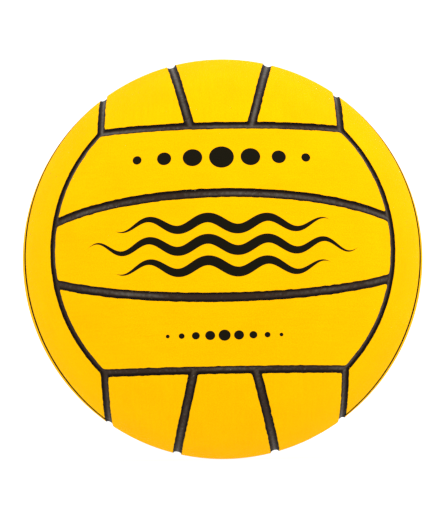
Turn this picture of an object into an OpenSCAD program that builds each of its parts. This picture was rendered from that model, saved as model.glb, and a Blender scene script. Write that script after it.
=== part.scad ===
// Water polo ball: an inflated rubber ball built in layers. From the inside out these are the
// bladder with its valve, a wound thread layer, a black rubber carcass, and a cover of eighteen
// yellow panels with grooved black strips between them.
// The origin is the ball's centre, with +Z up. The ball's front faces -Y, and the valve is at the
// middle of the back, on +Y. Lengths are in millimetres and angles in degrees.

/* [Ball] */
// Diameter of the inflated ball
ball_d = 220; // [150:1:260]
// Gap that stands for the bond between two pieces
bond_gap = 0.05; // [0.03:0.01:0.15]

/* [Layers] */
// Thickness of the cover panels
cover_t = 1.5; // [1:0.05:3]
// Thickness of the black carcass under the cover
carcass_t = 0.35; // [0.2:0.05:1.5]
// Thickness of the wound thread layer
winding_t = 0.4; // [0.2:0.05:1.5]
// Thickness of the air bladder
bladder_t = 0.55; // [0.3:0.05:1.5]

/* [Seams] */
// Width of the black strip between two panels, at the surface
seam_w = 4.8; // [3.4:0.1:7]
// Width of the lip on each side of a strip's groove
lip_w = 0.3; // [0.1:0.05:0.5]
// Rubber left under the groove of a strip
groove_floor_t = 0.3; // [0.1:0.05:0.6]
// How much shallower a groove inside a face is than one around it
inner_groove_rise = 0.1; // [0.05:0.01:0.2]
// How much wider than a groove the hollow is where three grooves meet
corner_swell = 0.1; // [0.05:0.01:0.15]
// Tilt of the seams beside a middle panel, seen from the ball's centre
seam_tilt = 14.1; // [10:0.1:20]
// The same tilt on the left and right faces, whose middle panels are narrower
side_seam_tilt = 12.9; // [10:0.1:20]

/* [Valve body] */
// Diameter of the neck that passes out through the layers
neck_d = 8.4; // [7.4:0.1:12]
// How far the neck's rim lies below the ball's surface
rim_recess = 0.25; // [0.1:0.05:0.8]
// Diameter of the barrel that points into the ball
barrel_d = 10.4; // [9:0.1:16]
// Length of the barrel inside the bladder
barrel_l = 13; // [11:0.5:20]
// Diameter of the flange that is bonded to the bladder
flange_d = 26; // [18:1:40]
// Thickness of the flange
flange_t = 0.8; // [0.4:0.1:2]

/* [Valve core] */
// Diameter of the core
core_d = 4.6; // [4:0.1:5.4]
// Length of the core
core_l = 14; // [12.5:0.1:15]
// How far the core's face lies below the ball's surface
core_recess = 0.7; // [0.4:0.05:1]
// Clearance around the core in the valve body
core_clearance = 0.05; // [0.03:0.01:0.15]
// Diameter of the ring that locks the core in the body
ring_d = 6; // [5.6:0.1:6.8]
// Length of the locking ring
ring_l = 2; // [1:0.1:3]
// Distance from the core's face to the locking ring
ring_depth = 5; // [3:0.1:7]

/* [Needle guide] */
// Diameter of the inflation needle that the valve takes
needle_d = 2; // [1.6:0.05:2.4]
// Clearance around the needle in its guide
needle_clearance = 0.025; // [0.01:0.005:0.05]
// Length of the guide behind its funnel
guide_l = 8; // [6:0.5:10]
// Diameter of the funnel at the mouth of the guide
funnel_d = 3.4; // [2.8:0.1:3.8]
// Depth of the funnel
funnel_depth = 0.7; // [0.4:0.1:1.2]
// How far the slit behind the guide stops short of the guide's wall, on each side
slit_margin = 0.15; // [0.05:0.05:0.5]
// Opening of the slit while it is closed
slit_gap = 0.12; // [0.05:0.01:0.2]

/* [Hidden] */
$fn = 360;
tube_facets = 48;
overrun = 1;

// Directions of the faces, as turns about the cube diagonal that carries Z to X and X to Y
TOP_BOTTOM = 0;
RIGHT_LEFT = 1;
BACK_FRONT = 2;
TURN_ANGLE = 120;
CUBE_DIAGONAL = [1, 1, 1];

// Each face is bounded by circles that lie this angle away from the three axes of a cube
corner_angle = acos(1 / sqrt(3));

ball_r = ball_d / 2;
cover_inner_r = ball_r - cover_t;
carcass_r = cover_inner_r - bond_gap;
carcass_inner_r = carcass_r - carcass_t;
winding_r = carcass_inner_r - bond_gap;
winding_inner_r = winding_r - winding_t;
bladder_r = winding_inner_r - bond_gap;
bladder_inner_r = bladder_r - bladder_t;
strip_inner_r = carcass_r + bond_gap;

// A groove is part of a round tube that lies half sunk along the seam
groove_w = seam_w - 2 * lip_w;
groove_depth = ball_r - strip_inner_r - groove_floor_t;
groove_tube_r = (pow(groove_w / 2, 2) + pow(groove_depth, 2)) / (2 * groove_depth);
groove_path_r = ball_r - groove_depth + groove_tube_r;
inner_groove_path_r = groove_path_r + inner_groove_rise;

// The wedges that part the strips of a face reach this far from the ball's centre
wedge_reach_share = 1.2;
wedge_reach = ball_r * wedge_reach_share;

core_top = ball_r - core_recess;
ring_top = core_top - ring_depth;
body_top = ball_r - rim_recess;
flange_r = bladder_inner_r - bond_gap;
barrel_end = flange_r - barrel_l;
layer_hole_d = neck_d + 2 * bond_gap;
guide_d = needle_d + 2 * needle_clearance;
guide_top = core_top - funnel_depth;
guide_end = guide_top - guide_l;
core_end = core_top - core_l;
slit_w = guide_d - 2 * slit_margin;
slit_from = core_end - overrun;
slit_to = (guide_top + guide_end) / 2;

panel_yellow = [1, 0.83, 0];
seam_black = [0.1, 0.1, 0.09];
carcass_black = [0.16, 0.16, 0.15];
thread_white = [0.9, 0.88, 0.8];
bladder_grey = [0.27, 0.26, 0.28];
valve_black = [0.13, 0.13, 0.13];
core_brown = [0.45, 0.27, 0.12];

// Angle at the ball's centre that a short distance on its surface takes up
function surface_angle(distance) = asin(distance / ball_r);

// Tilt of the seams inside a face
function face_tilt(turns) = turns == RIGHT_LEFT ? side_seam_tilt : seam_tilt;

// Carries what is drawn for the top face to another face. Flipped, it goes to the opposite one.
module on_face(turns, flipped) {
    rotate(a = turns * TURN_ANGLE, v = CUBE_DIAGONAL)
        rotate([0, flipped ? 180 : 0, 0])
            children();
}

// Puts what is drawn about Z on the valve's axis, at the middle of the back
module on_valve_axis() {
    rotate([-90, 0, 0])
        children();
}

// Round layer between two radii
module layer(outer_r, inner_r) {
    difference() {
        sphere(r = outer_r);
        sphere(r = inner_r);
    }
}

// Cylinder about the valve's axis between two distances from the ball's centre
module valve_cylinder(d, from, to) {
    translate([0, 0, from])
        cylinder(h = to - from, d = d);
}

// Hole that the valve's neck passes through
module neck_hole() {
    on_valve_axis()
        valve_cylinder(layer_hole_d, barrel_end, ball_r + overrun);
}

// Sphere about the Z axis that crosses the ball's surface squarely, in a circle at this angle
module squared_cut(angle) {
    translate([0, 0, ball_r / cos(angle)])
        sphere(r = ball_r * tan(angle));
}

// Wedge along the strips of the top face. Strip 0 is the middle one, and -1 and 1 lie beside it.
module strip_wedge(tilt, strip, margin) {
    seam_offset = margin / cos(tilt);
    far_seam_x = wedge_reach * tan(tilt);
    point_height = margin / sin(tilt);
    side_sign = strip == 0 ? 1 : strip;
    outline = strip == 0
        ? [[0, point_height],
           [far_seam_x - seam_offset, wedge_reach],
           [seam_offset - far_seam_x, wedge_reach]]
        : [[side_sign * seam_offset, 0],
           [side_sign * (far_seam_x + seam_offset), wedge_reach],
           [side_sign * wedge_reach, wedge_reach],
           [side_sign * wedge_reach, 0]];
    rotate([90, 0, 0])
        linear_extrude(height = 2 * wedge_reach, center = true)
            polygon(outline);
}

// Space of one panel of the top face, held back from the middle of every seam by a margin
module panel_space(tilt, strip, margin) {
    difference() {
        intersection() {
            squared_cut(corner_angle - surface_angle(margin));
            strip_wedge(tilt, strip, margin);
        }
        if (strip != 0)
            rotate([0, strip * 90, 0])
                squared_cut(corner_angle + surface_angle(margin));
    }
}

// One panel of the cover
module cover_panel(turns, flipped, strip) {
    intersection() {
        layer(ball_r, cover_inner_r);
        on_face(turns, flipped)
            panel_space(face_tilt(turns), strip, seam_w / 2 + bond_gap);
    }
}

// Quarter of a groove around the top face, on the side that faces +Y
module face_groove() {
    rotate_extrude(angle = 90, start = 45)
        translate([groove_path_r * sin(corner_angle), groove_path_r * cos(corner_angle)])
            circle(r = groove_tube_r, $fn = tube_facets);
}

// Groove between two strips of the top face, from one face groove to the other
module strip_groove(tilt, side_sign) {
    end_angle = acos(cos(corner_angle) / cos(tilt));
    rotate([0, side_sign * tilt, 0])
        rotate([0, 90, 0])
            rotate_extrude(angle = 2 * end_angle, start = 180 - end_angle)
                translate([inner_groove_path_r, 0])
                    circle(r = groove_tube_r, $fn = tube_facets);
}

// Hollow where three grooves meet, at the corners of the top face
module corner_hollow(turn) {
    rotate([0, 0, turn])
        translate(groove_path_r / sqrt(3) * CUBE_DIAGONAL)
            sphere(r = groove_tube_r + corner_swell);
}

module seam_strips() {
    color(seam_black)
        difference() {
            layer(ball_r, strip_inner_r);
            for (turns = [TOP_BOTTOM, RIGHT_LEFT, BACK_FRONT], flipped = [false, true])
                on_face(turns, flipped) {
                    for (strip = [-1, 0, 1])
                        panel_space(face_tilt(turns), strip, seam_w / 2);
                    for (side_sign = [-1, 1])
                        strip_groove(face_tilt(turns), side_sign);
                    for (half_turn = [0, 180])
                        rotate([0, 0, half_turn])
                            face_groove();
                }
            for (flipped = [false, true], turn = [0, 90, 180, 270])
                on_face(TOP_BOTTOM, flipped)
                    corner_hollow(turn);
        }
}

module carcass() {
    color(carcass_black)
        difference() {
            layer(carcass_r, carcass_inner_r);
            neck_hole();
        }
}

module winding() {
    color(thread_white)
        difference() {
            layer(winding_r, winding_inner_r);
            neck_hole();
        }
}

module bladder() {
    color(bladder_grey)
        difference() {
            layer(bladder_r, bladder_inner_r);
            neck_hole();
        }
}

module valve_body() {
    ring_room_d = ring_d + 2 * core_clearance;
    color(valve_black)
        on_valve_axis()
            difference() {
                union() {
                    intersection() {
                        layer(flange_r, flange_r - flange_t);
                        valve_cylinder(flange_d, barrel_end, ball_r);
                    }
                    intersection() {
                        sphere(r = flange_r);
                        valve_cylinder(barrel_d, barrel_end, ball_r);
                    }
                    valve_cylinder(neck_d, flange_r - flange_t, body_top);
                }
                valve_cylinder(core_d + 2 * core_clearance, barrel_end - overrun, ball_r);
                valve_cylinder(ring_room_d, ring_top - ring_l - core_clearance, ring_top + core_clearance);
            }
}

module valve_core() {
    color(core_brown)
        on_valve_axis()
            difference() {
                union() {
                    valve_cylinder(core_d, core_end, core_top);
                    valve_cylinder(ring_d, ring_top - ring_l, ring_top);
                }
                translate([0, 0, guide_top])
                    cylinder(h = funnel_depth, d1 = guide_d, d2 = funnel_d);
                valve_cylinder(guide_d, guide_end, core_top);
                translate([-slit_w / 2, -slit_gap / 2, slit_from])
                    cube([slit_w, slit_gap, slit_to - slit_from]);
            }
}

module front_upper_panel() {
    color(panel_yellow)
        cover_panel(BACK_FRONT, true, -1);
}

module front_middle_panel() {
    color(panel_yellow)
        cover_panel(BACK_FRONT, true, 0);
}

module front_lower_panel() {
    color(panel_yellow)
        cover_panel(BACK_FRONT, true, 1);
}

module back_upper_panel() {
    color(panel_yellow)
        cover_panel(BACK_FRONT, false, 1);
}

module back_middle_panel() {
    color(panel_yellow)
        difference() {
            cover_panel(BACK_FRONT, false, 0);
            neck_hole();
        }
}

module back_lower_panel() {
    color(panel_yellow)
        cover_panel(BACK_FRONT, false, -1);
}

module top_left_panel() {
    color(panel_yellow)
        cover_panel(TOP_BOTTOM, false, -1);
}

module top_middle_panel() {
    color(panel_yellow)
        cover_panel(TOP_BOTTOM, false, 0);
}

module top_right_panel() {
    color(panel_yellow)
        cover_panel(TOP_BOTTOM, false, 1);
}

module bottom_left_panel() {
    color(panel_yellow)
        cover_panel(TOP_BOTTOM, true, 1);
}

module bottom_middle_panel() {
    color(panel_yellow)
        cover_panel(TOP_BOTTOM, true, 0);
}

module bottom_right_panel() {
    color(panel_yellow)
        cover_panel(TOP_BOTTOM, true, -1);
}

module left_front_panel() {
    color(panel_yellow)
        cover_panel(RIGHT_LEFT, true, 1);
}

module left_middle_panel() {
    color(panel_yellow)
        cover_panel(RIGHT_LEFT, true, 0);
}

module left_back_panel() {
    color(panel_yellow)
        cover_panel(RIGHT_LEFT, true, -1);
}

module right_front_panel() {
    color(panel_yellow)
        cover_panel(RIGHT_LEFT, false, -1);
}

module right_middle_panel() {
    color(panel_yellow)
        cover_panel(RIGHT_LEFT, false, 0);
}

module right_back_panel() {
    color(panel_yellow)
        cover_panel(RIGHT_LEFT, false, 1);
}

bladder();
winding();
carcass();
seam_strips();
valve_body();
valve_core();
front_upper_panel();
front_middle_panel();
front_lower_panel();
back_upper_panel();
back_middle_panel();
back_lower_panel();
top_left_panel();
top_middle_panel();
top_right_panel();
bottom_left_panel();
bottom_middle_panel();
bottom_right_panel();
left_front_panel();
left_middle_panel();
left_back_panel();
right_front_panel();
right_middle_panel();
right_back_panel();
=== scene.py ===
"""Looks of the water polo ball: fine meshes, materials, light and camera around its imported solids."""

import math
from functools import lru_cache

import bmesh
import bpy
from mathutils import Matrix, Vector, noise


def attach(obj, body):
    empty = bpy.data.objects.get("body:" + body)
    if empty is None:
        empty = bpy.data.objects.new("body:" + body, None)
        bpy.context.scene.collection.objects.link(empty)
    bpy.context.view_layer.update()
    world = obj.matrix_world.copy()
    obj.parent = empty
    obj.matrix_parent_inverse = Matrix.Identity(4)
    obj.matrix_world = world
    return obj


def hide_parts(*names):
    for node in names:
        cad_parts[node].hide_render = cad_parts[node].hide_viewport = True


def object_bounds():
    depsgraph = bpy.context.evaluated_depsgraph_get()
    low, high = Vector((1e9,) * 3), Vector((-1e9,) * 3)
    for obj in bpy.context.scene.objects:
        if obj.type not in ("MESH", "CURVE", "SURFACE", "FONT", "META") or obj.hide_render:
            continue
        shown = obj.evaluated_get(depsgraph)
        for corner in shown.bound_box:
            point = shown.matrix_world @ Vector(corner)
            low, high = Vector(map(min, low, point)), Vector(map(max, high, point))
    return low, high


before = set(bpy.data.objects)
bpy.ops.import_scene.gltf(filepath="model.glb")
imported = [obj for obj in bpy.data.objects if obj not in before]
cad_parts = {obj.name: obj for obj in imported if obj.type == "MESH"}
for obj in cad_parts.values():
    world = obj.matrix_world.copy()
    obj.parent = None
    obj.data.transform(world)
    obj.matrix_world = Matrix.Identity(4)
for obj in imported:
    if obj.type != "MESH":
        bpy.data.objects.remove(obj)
cad_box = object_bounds()

MM = 0.001

# The ball and its layers, in metres
BALL_R = min(cad_box[1].x, cad_box[1].z)
COVER_INNER_R = BALL_R - 1.5 * MM
BOND_GAP = 0.05 * MM

# Seams between the panels
SEAM_W = 4.8 * MM
SEAM_TILT = math.radians(14.1)
SIDE_SEAM_TILT = math.radians(12.9)
CORNER_ANGLE = math.acos(1 / math.sqrt(3))
GROOVE_DEPTH = 1.2 * MM
GROOVE_STEPS = 8
PANEL_EDGE_R = 0.12 * MM
PANEL_EDGE_STEPS = 4
LIP_DROP = 0.03 * MM
CORNER_ROUNDING = 1.3 * MM
CORNER_PULL = 0.3
EDGE_WOBBLE = 0.3 * MM
EDGE_WOBBLE_LENGTH = 3.2 * MM
EDGE_RIPPLE = EDGE_WOBBLE / 2
EDGE_RIPPLE_LENGTH = EDGE_WOBBLE_LENGTH / 3.1

# A strip's points are found in rounds, from a first latitude in radians at the strip's end
ROUNDS = 30
FIRST_LATITUDE = 0.6

# Spacing of the vertices along a panel's edge, finer beside its corners
EDGE_SPACING = 1.1 * MM
CORNER_STATIONS = (0.45 * MM, 0.9 * MM)

MERGE_DISTANCE = 0.002 * MM
SMOOTH_ANGLE = math.radians(40)

# Valve, as radii about its axis and distances from the ball's centre
VALVE_SEGMENTS = 96
NECK_R = 4.2 * MM
RIM_RECESS = 0.25 * MM
HOUSING_TOP = BALL_R - RIM_RECESS
BARREL_R = 5.2 * MM
BARREL_END = 94.0 * MM
FLANGE_R = 13 * MM
FLANGE_T = 0.8 * MM
FLANGE_SPHERE_R = 107.0 * MM
FLANGE_STEPS = 4
HOUSING_ROUNDING = 0.15 * MM
CORE_CLEARANCE = 0.05 * MM
CORE_R = 2.3 * MM
CORE_L = 14 * MM
CORE_RECESS = 0.7 * MM
CORE_TOP = BALL_R - CORE_RECESS
CORE_END = CORE_TOP - CORE_L
CORE_ROUNDING = 0.12 * MM
RING_R = 3.0 * MM
RING_L = 2 * MM
RING_DEPTH = 5 * MM
RING_TOP = CORE_TOP - RING_DEPTH
RING_BOTTOM = RING_TOP - RING_L
BORE_R = CORE_R + CORE_CLEARANCE
RING_ROOM_R = RING_R + CORE_CLEARANCE
FUNNEL_R = 1.7 * MM
FUNNEL_DEPTH = 0.7 * MM
GUIDE_R = 1.025 * MM
GUIDE_L = 8 * MM
GUIDE_TOP = CORE_TOP - FUNNEL_DEPTH
GUIDE_END = GUIDE_TOP - GUIDE_L
SLIT_MARGIN = 0.15 * MM
SLIT_GAP = 0.12 * MM

# Hole in the cover for the valve's neck. The panel is cleared around it and filled in with rings.
NECK_HOLE_R = NECK_R + BOND_GAP
HOLE_ROUNDING = 0.35 * MM
HOLE_ROUNDING_STEPS = 4
HOLE_PATCH_R = 7.5 * MM
HOLE_INNER_PATCH_R = 6.0 * MM
HOLE_CLEARING_R = 9.0 * MM

# Stage: how bright the room, the side light and the floor are, where the side light comes from,
# how wide it is, and how far the floor reaches
STUDIO_LIGHT = 1.33
SIDE_LIGHT = 0.7
SIDE_LIGHT_TURN = (math.radians(20), math.radians(55), 0)
SIDE_LIGHT_WIDTH = math.radians(120)
FLOOR_GLOW = 0.94
FLOOR_R = 20

# Print: how soft its outlines are, its waves, and how far from a face's middle its outer strips lie
INK_EDGE = 0.12 * MM
INK_BLACK = (0.0095, 0.008, 0.004, 1)
WAVE_RISE = 3.0 * MM
WAVE_LENGTH = 31 * MM
WAVE_SPACING = 11 * MM
WAVE_HALF_L = 76 * MM
OUTER_WAVE_HALF_L = 58 * MM
WAVE_HALF_W = 2.6 * MM
OUTER_STRIP_OFFSET = BALL_R * (SEAM_TILT + math.pi / 2 - CORNER_ANGLE) / 2

# Winding: the distance between its threads, and each run's axis and the size of its patches
THREAD_PITCH = 1.1 * MM
THREAD_RUNS = (
    ((0.94, 0.28, 0.19), 15 * MM),
    ((-0.27, 0.89, 0.36), 19 * MM),
    ((0.18, -0.44, 0.88), 23 * MM),
)

# Camera, as turns to the side, up and about its own axis in degrees, and the picture's pixels
CAMERA_TURN = (0.2, -3.95, -1.02)
CAMERA_DISTANCE = 1.43
CAMERA_SENSOR = 36
CAMERA_LENS = 181.8
IMAGE_H_PX = 513
BALL_RIGHT_PX = 2.6
BALL_DOWN_PX = 2.7

# Each face's turns about the cube diagonal, whether it is the opposite one, and its strips in order
FACES = {
    "top": (0, False, ("left", "middle", "right")),
    "bottom": (0, True, ("right", "middle", "left")),
    "right": (1, False, ("front", "middle", "back")),
    "left": (1, True, ("back", "middle", "front")),
    "back": (2, False, ("lower", "middle", "upper")),
    "front": (2, True, ("upper", "middle", "lower")),
}

# Tilt of the seams inside each pair of faces, by their turns
FACE_TILTS = (SEAM_TILT, SIDE_SEAM_TILT, SEAM_TILT)


def face_turn(turns, flipped):
    """Matrix that carries the top face to another face."""
    turn = Matrix.Rotation(math.radians(120 * turns), 3, Vector((1, 1, 1)))
    flip = Matrix.Rotation(math.pi if flipped else 0, 3, "Y")
    return turn @ flip


@lru_cache(maxsize=None)
def strip_point(strip, across, along, margin):
    """Direction of a point on a strip of the top face.

    A strip is given by its seams' tilt and its place: 0 in the middle, and -1 and 1 beside it.
    across and along run from -1 to 1 between the strip's sides and between its ends, which lie a
    margin away from the middle of the seams.
    """
    tilt, place = strip
    reach = math.asin(margin / BALL_R)
    latitude = FIRST_LATITUDE * along
    for _ in range(ROUNDS):
        seam = tilt - math.asin(margin / (BALL_R * math.cos(latitude)))
        if place == 0:
            left, right = -seam, seam
        else:
            near = 2 * tilt - seam
            far = math.asin(math.cos(CORNER_ANGLE + reach) / math.cos(latitude))
            left, right = (near, far) if place > 0 else (-far, -near)
        longitude = left + (right - left) * (across + 1) / 2
        end = math.acos(math.cos(CORNER_ANGLE - reach) / math.cos(longitude))
        latitude = (latitude + along * end) / 2
    return Vector((
        math.sin(longitude) * math.cos(latitude),
        math.sin(latitude),
        math.cos(longitude) * math.cos(latitude),
    ))


@lru_cache(maxsize=None)
def rounded_point(strip, across, along, margin):
    """strip_point with the strip's corners rounded, fully at the panels and not at all mid-seam."""
    point = strip_point(strip, across, along, margin)
    rounding = CORNER_ROUNDING * min(1, margin / (SEAM_W / 2))
    if rounding == 0:
        return point
    side = math.copysign(1, across)
    end = math.copysign(1, along)
    corner = strip_point(strip, side, end, margin)
    from_side = (strip_point(strip, across, end, margin) - corner).length * BALL_R
    from_end = (strip_point(strip, side, along, margin) - corner).length * BALL_R
    if max(from_side, from_end) >= rounding:
        return point
    inwards = (strip_point(strip, side, end, margin + MM) - corner).normalized()
    share = (1 - from_side / rounding) * (1 - from_end / rounding)
    return (point + inwards * CORNER_PULL * share ** 2 * rounding / BALL_R).normalized()


def edge_wobble(point):
    """How far a panel's edge strays sideways at a point, in metres."""
    wave = noise.noise(point * BALL_R / EDGE_WOBBLE_LENGTH)
    ripple = noise.noise(point * BALL_R / EDGE_RIPPLE_LENGTH)
    return EDGE_WOBBLE * wave + EDGE_RIPPLE * ripple


def cover_point(turn, strip, share, margin, radius):
    """Place in the ball of a point of the cover, on a sphere of the given radius."""
    across, along = share
    point = rounded_point(strip, across, along, margin)
    if margin > 0 and max(abs(across), abs(along)) == 1:
        inwards = (rounded_point(strip, across, along, margin + MM) - point) / MM
        strength = min(1, margin / (SEAM_W / 2))
        point = (point + inwards * edge_wobble(turn @ point) * strength).normalized()
    return turn @ point * radius


def stations(length):
    """Shares from -1 to 1 along an edge of a given length, closer together beside its ends."""
    first = CORNER_STATIONS[-1]
    steps = max(1, round((length - 2 * first) / EDGE_SPACING))
    inner = [first + (length - 2 * first) * step / steps for step in range(steps + 1)]
    outer = CORNER_STATIONS[:-1]
    places = [0, *outer, *inner, *(length - place for place in reversed(outer)), length]
    return [2 * place / length - 1 for place in places]


def strip_end_length(strip):
    """Length of a strip's end, measured in the middle of the seam."""
    ends = [strip_point(strip, side, 1, 0) for side in (-1, 1)]
    return (ends[1] - ends[0]).length * BALL_R


def side_share(x):
    """Share along an outer strip's far side where a strip of the next face ends at x."""
    latitude = math.asin(x)
    longitude = math.asin(math.cos(CORNER_ANGLE) / math.cos(latitude))
    return latitude / math.acos(math.cos(CORNER_ANGLE) / math.cos(longitude))


# Stations across each strip
ACROSS = {
    (tilt, place): stations(strip_end_length((tilt, place)))
    for tilt in FACE_TILTS
    for place in (-1, 0, 1)
}


def far_side_stations(tilt):
    """Shares along an outer strip's far side, which meets three strip ends of the next face."""
    return [-1] + [
        side_share(strip_point((tilt, place), across, 1, 0).x)
        for place in (-1, 0, 1)
        for across in ACROSS[tilt, place][1:-1] + ([1] if place < 1 else [])
    ] + [1]


# Stations along the strips of each pair of faces, by their turns
ALONG = [far_side_stations(FACE_TILTS[(turns + 1) % 3]) for turns in range(3)]


def border(across, along):
    """Shares of the stations round a strip, in order and each once."""
    return (
        [(share, -1) for share in across[:-1]]
        + [(1, share) for share in along[:-1]]
        + [(share, 1) for share in reversed(across[1:])]
        + [(-1, share) for share in reversed(along[1:])]
    )


def extrude_row(bm, edges, place):
    """Extrudes an edge loop and puts the new vertices where place says. Returns the new loop."""
    made = bmesh.ops.extrude_edge_only(bm, edges=edges)["geom"]
    new_verts = {part for part in made if isinstance(part, bmesh.types.BMVert)}
    for vert in new_verts:
        vert.co = place(vert)
    return [
        part for part in made
        if isinstance(part, bmesh.types.BMEdge) and new_verts.issuperset(part.verts)
    ]


def finish_mesh(bm, name, material):
    """Turns a bmesh into a piece that rides on the ball."""
    bmesh.ops.remove_doubles(bm, verts=bm.verts, dist=MERGE_DISTANCE)
    bmesh.ops.recalc_face_normals(bm, faces=bm.faces)
    for face in bm.faces:
        face.smooth = True
    mesh = bpy.data.meshes.new(name)
    bm.to_mesh(mesh)
    bm.free()
    mesh.set_sharp_from_angle(angle=SMOOTH_ANGLE)
    mesh.materials.append(material)
    piece = bpy.data.objects.new(name, mesh)
    bpy.context.scene.collection.objects.link(piece)
    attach(piece, "root")
    return piece


def lay_uv(bm, turn):
    """Lays a UV map over a strip, in metres, straight as on the sheet that it was cut from.

    u runs along the strip and v across it, both from the middle of the face.
    """
    layer = bm.loops.layers.uv.new("UVMap")
    back = turn.transposed()
    for face in bm.faces:
        for loop in face.loops:
            point = (back @ loop.vert.co).normalized()
            loop[layer].uv = (math.asin(point.y) * BALL_R, math.asin(point.x) * BALL_R)


def add_strip_grid(bm, shares, turn, strip, along, margin, radius):
    """Adds a grid over a strip. Its vertices keep their shares, which the extruded rows take over."""
    across = ACROSS[strip]
    made = bmesh.ops.create_grid(
        bm, x_segments=len(across) - 1, y_segments=len(along) - 1, size=1
    )["verts"]
    for vert in made:
        column = round((vert.co.x + 1) / 2 * (len(across) - 1))
        row = round((vert.co.y + 1) / 2 * (len(along) - 1))
        vert[shares] = (across[column], along[row], 0)
        vert.co = cover_point(turn, strip, (across[column], along[row]), margin, radius)


def quarter_arc(steps):
    """Cosines and sines of angles from nothing to a right angle."""
    angles = [math.pi / 2 * step / steps for step in range(steps + 1)]
    return [(math.cos(angle), math.sin(angle)) for angle in angles]


# A panel's edge from its foot up to where its rounding meets the outer face: margin and radius
PANEL_MARGIN = SEAM_W / 2 + BOND_GAP
PANEL_EDGE = [
    (PANEL_MARGIN + PANEL_EDGE_R * (1 - cosine), BALL_R - PANEL_EDGE_R * (1 - sine))
    for cosine, sine in quarter_arc(PANEL_EDGE_STEPS)
]

# The groove from the middle of the seam up to its lips, as an arc of an ellipse: margin and radius
GROOVE = [
    (SEAM_W / 2 * sine, BALL_R - LIP_DROP - (GROOVE_DEPTH - LIP_DROP) * cosine)
    for cosine, sine in quarter_arc(GROOVE_STEPS)
]


def valve_distance(point):
    """Distance of a point from the valve's axis."""
    return math.hypot(point.x, point.z)


def open_neck_hole(bm):
    """Opens the hole for the valve's neck in a panel, with a rounded rim."""
    doomed = [
        face for face in bm.faces if valve_distance(face.calc_center_median()) < HOLE_CLEARING_R
    ]
    bmesh.ops.delete(bm, geom=doomed, context="FACES")
    loops = [edge for edge in bm.edges if edge.is_boundary]
    outer_loop = [edge for edge in loops if edge.verts[0].co.length > BALL_R - HOLE_ROUNDING]
    inner_loop = [edge for edge in loops if edge not in outer_loop]
    rounding = [
        (NECK_HOLE_R + HOLE_ROUNDING * (1 - sine), BALL_R - HOLE_ROUNDING * (1 - cosine))
        for cosine, sine in quarter_arc(HOLE_ROUNDING_STEPS)
    ]
    rows = [(HOLE_INNER_PATCH_R, BALL_R), *rounding, (NECK_HOLE_R, COVER_INNER_R)]
    lay_down = Matrix.Rotation(math.pi / 2, 4, "X")
    first = bmesh.ops.create_circle(
        bm, segments=VALVE_SEGMENTS, radius=HOLE_PATCH_R, matrix=lay_down
    )["verts"]

    def on_circle(vert, circle_r, sphere_r):
        outwards = Vector((vert.co.x, 0, vert.co.z)).normalized()
        return outwards * circle_r + Vector((0, math.sqrt(sphere_r ** 2 - circle_r ** 2), 0))

    for vert in first:
        vert.co = on_circle(vert, HOLE_PATCH_R, BALL_R)
    ring = [edge for edge in bm.edges if set(edge.verts) <= set(first)]
    patch = list(ring)
    for circle_r, sphere_r in rows:
        ring = extrude_row(bm, ring, lambda vert: on_circle(vert, circle_r, sphere_r))
    bmesh.ops.bridge_loops(bm, edges=outer_loop + patch)
    bmesh.ops.bridge_loops(bm, edges=inner_loop + ring)


def make_panel(face, place, material):
    """One cover panel as a closed solid with rounded edges."""
    turns, flipped, strip_names = FACES[face]
    turn = face_turn(turns, flipped)
    strip = (FACE_TILTS[turns], place)
    name = f"{face}_{strip_names[place + 1]}"
    bm = bmesh.new()
    shares = bm.verts.layers.float_vector.new("share")
    add_strip_grid(bm, shares, turn, strip, ALONG[turns], PANEL_MARGIN, COVER_INNER_R)
    edges = [edge for edge in bm.edges if edge.is_boundary]
    for margin, radius in PANEL_EDGE:
        edges = extrude_row(
            bm, edges,
            lambda vert: cover_point(turn, strip, tuple(vert[shares].xy), margin, radius),
        )
    add_strip_grid(bm, shares, turn, strip, ALONG[turns], *PANEL_EDGE[-1])
    bmesh.ops.remove_doubles(bm, verts=bm.verts, dist=MERGE_DISTANCE)
    if name == "back_middle":
        open_neck_hole(bm)
    lay_uv(bm, turn)
    piece = finish_mesh(bm, f"{name}_rubber_panel", material)
    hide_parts(f"{name}_panel")


def make_seam_net(material):
    """The black rubber in all the seams, as one closed net with a groove along every seam."""
    bm = bmesh.new()
    bm.verts.layers.float_vector.new("share")
    margins = bm.verts.layers.float.new("seam_margin")
    # A new layer moves the earlier one, so it is only fetched now
    shares = bm.verts.layers.float_vector["share"]
    half_w = SEAM_W / 2
    rows = GROOVE[1:] + [(half_w, COVER_INNER_R), (0, COVER_INNER_R)]
    for turns, flipped, _ in FACES.values():
        turn = face_turn(turns, flipped)
        for place in (-1, 0, 1):
            strip = (FACE_TILTS[turns], place)
            loop = border(ACROSS[strip], ALONG[turns])
            ring = bmesh.ops.create_circle(bm, segments=len(loop), radius=1)["verts"]
            for vert, share in zip(ring, loop):
                vert[shares] = (*share, 0)
                vert.co = cover_point(turn, strip, share, *GROOVE[0])
            edges = list({edge for vert in ring for edge in vert.link_edges})
            for margin, radius in rows:
                edges = extrude_row(
                    bm, edges,
                    lambda vert: cover_point(turn, strip, tuple(vert[shares].xy), margin, radius),
                )
                for vert in {vert for edge in edges for vert in edge.verts}:
                    vert[margins] = margin
    piece = finish_mesh(bm, "seam_rubber_net", material)
    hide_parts("seam_strips")


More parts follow.
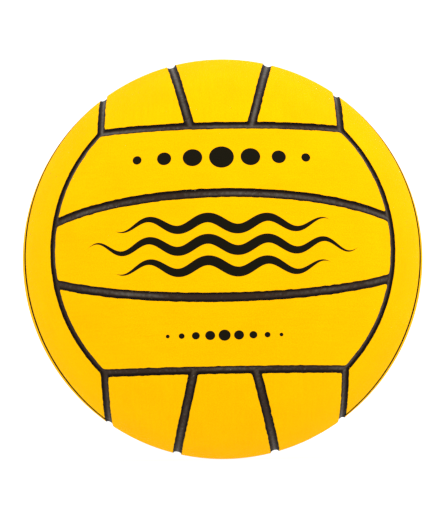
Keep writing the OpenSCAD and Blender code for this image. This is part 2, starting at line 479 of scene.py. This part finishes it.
def spin_about_valve(bm, outline):
    """Spins an outline of radii and distances from the ball's centre about the valve's axis."""
    verts = [bm.verts.new((radius, height, 0)) for radius, height in outline]
    edges = [bm.edges.new(pair) for pair in zip(verts, verts[1:])]
    bmesh.ops.spin(
        bm, geom=verts + edges, axis=(0, 1, 0), cent=(0, 0, 0),
        angle=2 * math.pi, steps=VALVE_SEGMENTS, use_merge=True,
    )
    bmesh.ops.remove_doubles(bm, verts=bm.verts, dist=MERGE_DISTANCE)
    bmesh.ops.recalc_face_normals(bm, faces=bm.faces)


def soften_edges(bm, width):
    """Rounds the sharp edges of a moulded rubber part."""
    sharp = [
        edge for edge in bm.edges
        if len(edge.link_faces) == 2 and edge.calc_face_angle() > SMOOTH_ANGLE
    ]
    bmesh.ops.bevel(
        bm, geom=sharp, offset=width, affect="EDGES", segments=3, profile=0.5, material=-1,
        clamp_overlap=True,
    )


def sphere_height(sphere_r, radius):
    """Distance along the valve's axis of a point on a sphere, at a radius about the axis."""
    return math.sqrt(sphere_r ** 2 - radius ** 2)


def make_valve_housing(material):
    """The housing: barrel, flange on the bladder's inside and neck out through the layers."""
    inner_r = FLANGE_SPHERE_R - FLANGE_T
    flange_radii = [
        FLANGE_R + (NECK_R - FLANGE_R) * step / FLANGE_STEPS for step in range(FLANGE_STEPS + 1)
    ]
    outline = [
        (BORE_R, BARREL_END), (BARREL_R, BARREL_END),
        (BARREL_R, sphere_height(inner_r, BARREL_R)),
        (FLANGE_R, sphere_height(inner_r, FLANGE_R)),
        *((radius, sphere_height(FLANGE_SPHERE_R, radius)) for radius in flange_radii),
        (NECK_R, HOUSING_TOP), (BORE_R, HOUSING_TOP),
        (BORE_R, RING_TOP + CORE_CLEARANCE), (RING_ROOM_R, RING_TOP + CORE_CLEARANCE),
        (RING_ROOM_R, RING_BOTTOM - CORE_CLEARANCE), (BORE_R, RING_BOTTOM - CORE_CLEARANCE),
        (BORE_R, BARREL_END),
    ]
    bm = bmesh.new()
    spin_about_valve(bm, outline)
    soften_edges(bm, HOUSING_ROUNDING)
    piece = finish_mesh(bm, "valve_housing", material)
    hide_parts("valve_body")


def make_valve_insert(material):
    """The self-sealing insert: a funnel and a guide for the needle, and a slit behind them."""
    outline = [
        (GUIDE_R, GUIDE_END), (GUIDE_R, GUIDE_TOP), (FUNNEL_R, CORE_TOP), (CORE_R, CORE_TOP),
        (CORE_R, RING_TOP), (RING_R, RING_TOP), (RING_R, RING_BOTTOM), (CORE_R, RING_BOTTOM),
        (CORE_R, CORE_END), (GUIDE_R, CORE_END),
    ]
    bm = bmesh.new()
    spin_about_valve(bm, outline)
    soften_edges(bm, CORE_ROUNDING)
    rims = [edge for edge in bm.edges if edge.is_boundary]
    guide_rim = [edge for edge in rims if edge.verts[0].co.y > (GUIDE_END + CORE_END) / 2]
    end_rim = [edge for edge in rims if edge not in guide_rim]

    def on_slit(vert):
        outwards = Vector((vert.co.x, vert.co.z)).normalized()
        along, aside = outwards.x * (GUIDE_R - SLIT_MARGIN), outwards.y * SLIT_GAP / 2
        return Vector((along, vert.co.y, aside))

    slit = extrude_row(bm, guide_rim, on_slit)
    slit = extrude_row(bm, slit, lambda vert: Vector((vert.co.x, CORE_END, vert.co.z)))
    bmesh.ops.bridge_loops(bm, edges=slit + end_rim)
    piece = finish_mesh(bm, "valve_insert", material)
    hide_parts("valve_core")


class Signal:
    """An output socket. The operators add Math nodes to the material that it belongs to."""

    def __init__(self, finish, socket):
        self.finish = finish
        self.socket = socket

    def __add__(self, other):
        return self.finish.math("ADD", self, other)

    __radd__ = __add__

    def __sub__(self, other):
        return self.finish.math("SUBTRACT", self, other)

    def __rsub__(self, other):
        return self.finish.math("SUBTRACT", other, self)

    def __mul__(self, other):
        return self.finish.math("MULTIPLY", self, other)

    __rmul__ = __mul__

    def __truediv__(self, other):
        return self.finish.math("DIVIDE", self, other)

    def __rtruediv__(self, other):
        return self.finish.math("DIVIDE", other, self)

    def __pow__(self, other):
        return self.finish.math("POWER", self, other)

    def __rpow__(self, other):
        return self.finish.math("POWER", other, self)

    def __abs__(self):
        return self.finish.math("ABSOLUTE", self)

    def sine(self):
        return self.finish.math("SINE", self)

    def cosine(self):
        return self.finish.math("COSINE", self)

    def clamped(self):
        return self.finish.math("ADD", self, 0, clamp=True)

    def or_more(self, other):
        return self.finish.math("MAXIMUM", self, other)


class Finish:
    """A material that is being made."""

    def __init__(self, name):
        self.material = bpy.data.materials.new(name)
        self.material.use_nodes = True
        self.tree = self.material.node_tree
        self.tree.nodes.clear()

    def node(self, kind, settings=None, inputs=None, output=0):
        """Adds a node: its settings first, then the values or links of its sockets."""
        made = self.tree.nodes.new("ShaderNode" + kind)
        for name, value in (settings or {}).items():
            setattr(made, name, value)
        for name, value in (inputs or {}).items():
            if isinstance(value, Signal):
                self.tree.links.new(value.socket, made.inputs[name])
            else:
                made.inputs[name].default_value = value
        return Signal(self, made.outputs[output]) if made.outputs else None

    def math(self, operation, *values, clamp=False):
        return self.node("Math", {"operation": operation, "use_clamp": clamp}, dict(enumerate(values)))

    def place(self, kind="Object"):
        """Where a point is, in metres, on the object or on its UV map, or which way it faces."""
        return self.node("TexCoord", output=kind)

    def part(self, vector, axis):
        """One part of a vector, by the name of its axis."""
        return self.node("SeparateXYZ", inputs={"Vector": vector}, output=axis)

    def stretched(self, vector, scale):
        return self.node("VectorMath", {"operation": "MULTIPLY"}, {0: vector, 1: scale})

    def noise(self, vector, size, detail=3, roughness=0.5):
        """Noise from 0 to 1 whose blobs have about this size in metres."""
        inputs = {"Vector": vector, "Scale": 1 / size, "Detail": detail, "Roughness": roughness}
        return self.node("TexNoise", inputs=inputs)

    def pebbles(self, vector, size):
        """Rounded pebbles side by side, 1 at their tops and near 0 between them."""
        inputs = {"Vector": vector, "Scale": 1 / size, "Smoothness": 0.5, "Randomness": 0.9}
        gap = self.node("TexVoronoi", {"feature": "SMOOTH_F1"}, inputs)
        return (1 - gap * gap * 2.2).clamped()

    def mix(self, factor, first, second):
        return self.node("Mix", {"data_type": "RGBA"}, {0: factor, 6: first, 7: second}, output=2)

    def shade(self, colour, roughness, height, depth, specular):
        """Joins the parts of the finish. Height from 0 to 1 stands for a depth in metres."""
        bump = self.node("Bump", inputs={"Height": height, "Distance": depth, "Strength": 1.0})
        surface = self.node("BsdfPrincipled", inputs={
            "Base Color": colour, "Roughness": roughness, "Normal": bump,
            "Specular IOR Level": specular,
        })
        self.node("OutputMaterial", inputs={"Surface": surface})
        return self.material


def grey(level):
    return (level, level, level, 1)


def stroke(distance_inside):
    """Ink from 0 to 1 where a distance inside its outline is above 0, with a crisp edge."""
    return (distance_inside / INK_EDGE + 0.5).clamped()


def wave_ink(u, v, middle, half_length, half_width):
    """A wavy stroke along a strip that tapers towards both ends."""
    turn = 2 * math.pi / WAVE_LENGTH
    angle = u * turn
    rise = angle.sine() * WAVE_RISE
    slope = angle.cosine() * (WAVE_RISE * turn)
    away = abs(v - middle - rise) / (slope * slope + 1) ** 0.5
    return stroke(half_width * (1 - (u / half_length) ** 2) - away)


def dot_ink(u, v, middle, aside, radius):
    """Two round dots on a strip, one on each side of its middle."""
    from_dot = abs(u) - aside
    from_row = v - middle
    return stroke(radius - (from_dot * from_dot + from_row * from_row) ** 0.5)


def dot_row(u, v, middle, half_count, spacing, radius):
    """A row of dots that get smaller towards both ends. The half count takes in the middle dot."""
    ink = dot_ink(u, v, middle, 0, radius)
    for step in range(1, half_count):
        smaller = radius * (1 - step / (half_count + 1))
        ink = ink.or_more(dot_ink(u, v, middle, step * spacing, smaller))
    return ink


def middle_print(u, v):
    """Three waves above each other."""
    upper, middle, lower = (
        wave_ink(u, v, row * WAVE_SPACING, OUTER_WAVE_HALF_L if row else WAVE_HALF_L, WAVE_HALF_W)
        for row in (-1, 0, 1)
    )
    return upper.or_more(middle).or_more(lower)


def upper_print(u, v):
    """A row of dots that get smaller towards both ends."""
    return dot_row(u, v, -OUTER_STRIP_OFFSET, half_count=4, spacing=15 * MM, radius=6.4 * MM)


def lower_print(u, v):
    """A finer row of dots."""
    return dot_row(u, v, OUTER_STRIP_OFFSET, half_count=5, spacing=7.4 * MM, radius=3.1 * MM)


def yellow_rubber(name, ink=None):
    """Matte yellow rubber, pebbled for grip and painted darker between the pebbles as shade, with faint
    streaks along the strip and perhaps a print.
    """
    finish = Finish(name)
    along = finish.place("UV")
    spot = finish.place()
    streaks = finish.noise(finish.stretched(along, (0.07, 1, 1)), 1.6 * MM, detail=4)
    clouds = finish.noise(spot, 22 * MM, detail=2)
    grain = finish.noise(spot, 0.55 * MM, detail=2)
    pebbles = finish.pebbles(spot, 0.8 * MM)
    deep, bright = (1.0, 0.452, 0.0, 1), (1.0, 0.54, 0.0, 1)
    # Streaks and clouds are random tone; the pebbles term paints shade, darker between the pebbles
    tone_and_pebble_shade = streaks * 0.6 + clouds * 0.8 + pebbles * 0.3 - 0.3
    colour = finish.mix(tone_and_pebble_shade.clamped(), deep, bright)
    roughness = 0.7 + 0.2 * grain
    if ink:
        printed = ink(finish.part(along, "X"), finish.part(along, "Y"))
        colour = finish.mix(printed, colour, INK_BLACK)
        roughness = roughness - 0.15 * printed
    height = pebbles * 0.7 + grain * 0.15 + streaks * 0.15
    return finish.shade(colour, roughness, height, 0.13 * MM, 0.01)


def seam_black_rubber():
    """Brown-black rubber of the seams, with dust and painted sheen along the groove and deep black lips
    of painted shade.

    The grey along the middle of the groove is painted sheen and dust: it comes and goes in patches,
    and it is lighter where the rubber faces up, which is painted light from above.
    """
    finish = Finish("seam_black_rubber")
    spot = finish.place()
    margin = finish.node("Attribute", {"attribute_name": "seam_margin"}, output="Fac")
    facing_up = finish.part(finish.place("Normal"), "Z")
    from_middle = margin / (SEAM_W / 2)
    patches = finish.noise(spot, 45 * MM, detail=2)
    uneven = finish.noise(spot, 1.8 * MM, detail=4)
    grain = finish.noise(spot, 0.35 * MM, detail=2)
    specks = finish.noise(spot, 0.9 * MM, detail=1)
    # Dust in patches, and painted light: lighter where the rubber faces up
    dust_and_painted_light = (0.18 + facing_up * 0.12 + (patches - 0.5) * 1.6 + (uneven - 0.5) * 0.9).clamped()
    # Painted sheen along the middle of the groove
    middle = (1.2 - from_middle * 2.2 + (uneven - 0.5) * 0.5).clamped()
    # Painted shade at the lips, beside the groove's walls
    lip_shade = (from_middle * 3 - 1.2 + (uneven - 0.5) * 0.5).clamped()
    colour = finish.mix(dust_and_painted_light * middle, (0.03, 0.016, 0.009, 1), (0.15, 0.135, 0.11, 1))
    colour = finish.mix(lip_shade, colour, (0.005, 0.002, 0.001, 1))
    dust = ((specks - 0.74) * 14).clamped() * 0.5
    colour = finish.mix(dust, colour, (0.3, 0.27, 0.2, 1))
    roughness = 0.75 - 0.25 * middle
    return finish.shade(colour, roughness, uneven * 0.8 + grain * 0.2, 0.12 * MM, 0.1)


def soft_black_rubber(name, level, cloth_size):
    """Dull black rubber with the print of the cloth that it was rolled in."""
    finish = Finish(name)
    spot = finish.place()
    clouds = finish.noise(spot, 14 * MM, detail=3)
    grain = finish.noise(spot, cloth_size, detail=2)
    colour = finish.mix(clouds, grey(level), grey(level * 1.9))
    return finish.shade(colour, 0.55 + 0.25 * grain, grain, 0.04 * MM, 0.3)


def wound_thread():
    """Nylon thread wound in crossing runs, in dark rubber cement.

    Each run lies round its own axis and covers the earlier ones in patches, but not near that axis.
    """
    finish = Finish("wound_nylon_thread")
    spot = finish.place()
    bend = finish.noise(spot, 40 * MM, detail=1)
    height = 0
    for axis, patch_size in THREAD_RUNS:
        along_axis = finish.node(
            "VectorMath", {"operation": "DOT_PRODUCT"}, {0: spot, 1: axis}, output="Value"
        )
        thread = (along_axis * (2 * math.pi / THREAD_PITCH) + bend * 6).sine() * 0.5 + 0.5
        patches = finish.noise(spot, patch_size, detail=1)
        on_top = ((patches - 0.5) * 9 + (0.78 - abs(along_axis) / BALL_R) * 8).clamped()
        height = thread * on_top + height * (1 - on_top)
    colour = finish.mix(height, (0.34, 0.31, 0.25, 1), (0.79, 0.75, 0.62, 1))
    return finish.shade(colour, 0.75 - 0.2 * height, height, 0.3 * MM, 0.3)


def talc_grey_rubber():
    """Grey butyl rubber with a film of talc."""
    finish = Finish("talc_grey_butyl")
    spot = finish.place()
    talc = finish.noise(spot, 11 * MM, detail=5, roughness=0.65)
    grain = finish.noise(spot, 0.8 * MM, detail=2)
    colour = finish.mix((talc * 2 - 0.6).clamped(), (0.055, 0.052, 0.06, 1), (0.19, 0.18, 0.19, 1))
    return finish.shade(colour, 0.35 + 0.4 * talc, grain, 0.03 * MM, 0.4)


def brown_core_rubber():
    """Brown natural rubber with fine specks."""
    finish = Finish("brown_core_rubber")
    spot = finish.place()
    clouds = finish.noise(spot, 2.5 * MM, detail=3)
    specks = finish.noise(spot, 0.25 * MM, detail=1)
    colour = finish.mix(clouds, (0.13, 0.055, 0.015, 1), (0.22, 0.105, 0.035, 1))
    return finish.shade(colour, 0.6 + 0.2 * specks, specks, 0.02 * MM, 0.3)


def lit_floor_white():
    """Floor of a lit white table: it glows, and takes the faintest shadow."""
    finish = Finish("lit_white_floor")
    surface = finish.node("BsdfPrincipled", inputs={
        "Base Color": grey(0.1), "Roughness": 0.9, "Specular IOR Level": 0.0,
        "Emission Color": grey(1), "Emission Strength": FLOOR_GLOW,
    })
    finish.node("OutputMaterial", inputs={"Surface": surface})
    return finish.material


def make_stage():
    """A wide pale floor and even white light, a little stronger from above and from the right."""
    scene = bpy.context.scene
    bm = bmesh.new()
    bmesh.ops.create_circle(bm, cap_ends=True, segments=128, radius=FLOOR_R)
    bmesh.ops.translate(bm, verts=bm.verts, vec=(0, 0, cad_box[0].z))
    mesh = bpy.data.meshes.new("floor")
    bm.to_mesh(mesh)
    bm.free()
    mesh.materials.append(lit_floor_white())
    floor = bpy.data.objects.new("floor", mesh)
    scene.collection.objects.link(floor)

    studio = bpy.data.worlds.new("white_studio")
    studio.use_nodes = True
    background = studio.node_tree.nodes["Background"]
    background.inputs["Color"].default_value = grey(1)
    background.inputs["Strength"].default_value = STUDIO_LIGHT
    scene.world = studio

    lamp = bpy.data.lights.new("soft_side_light", "SUN")
    lamp.energy = SIDE_LIGHT
    lamp.angle = SIDE_LIGHT_WIDTH
    light = bpy.data.objects.new("soft_side_light", lamp)
    light.rotation_euler = SIDE_LIGHT_TURN
    scene.collection.objects.link(light)
    scene.view_settings.view_transform = "Standard"


def make_camera():
    """Camera of the photograph: its place was worked out from the ball's outline and seams."""
    azimuth, elevation, roll = (math.radians(angle) for angle in CAMERA_TURN)
    turn = (
        Matrix.Rotation(roll, 3, "Y")
        @ Matrix.Rotation(elevation, 3, "X")
        @ Matrix.Rotation(azimuth, 3, "Z")
    ).transposed()
    place = turn @ Vector((0, -CAMERA_DISTANCE, 0))
    right, up, back = (turn @ Vector(axis) for axis in ((1, 0, 0), (0, 0, 1), (0, -1, 0)))
    facing = Matrix((right, up, back)).transposed()
    camera = bpy.data.objects.new("camera", bpy.data.cameras.new("camera"))
    camera.matrix_world = Matrix.Translation(place) @ facing.to_4x4()
    camera.data.sensor_width = CAMERA_SENSOR
    camera.data.lens = CAMERA_LENS
    camera.data.shift_x = -BALL_RIGHT_PX / IMAGE_H_PX
    camera.data.shift_y = BALL_DOWN_PX / IMAGE_H_PX
    bpy.context.scene.collection.objects.link(camera)
    bpy.context.scene.camera = camera


make_camera()
make_stage()

plain_yellow = yellow_rubber("yellow_rubber")
printed_yellow = {
    ("front", -1): yellow_rubber("yellow_rubber_with_dots", upper_print),
    ("front", 0): yellow_rubber("yellow_rubber_with_waves", middle_print),
    ("front", 1): yellow_rubber("yellow_rubber_with_fine_dots", lower_print),
}
for face in FACES:
    for place in (-1, 0, 1):
        make_panel(face, place, printed_yellow.get((face, place), plain_yellow))
make_seam_net(seam_black_rubber())
make_valve_housing(soft_black_rubber("valve_black_rubber", 0.009, 0.4 * MM))
make_valve_insert(brown_core_rubber())

for node, material in (
    ("carcass", soft_black_rubber("carcass_black_rubber", 0.012, 0.9 * MM)),
    ("winding", wound_thread()),
    ("bladder", talc_grey_rubber()),
):
    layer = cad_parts[node]
    layer.data.materials.clear()
    layer.data.materials.append(material)
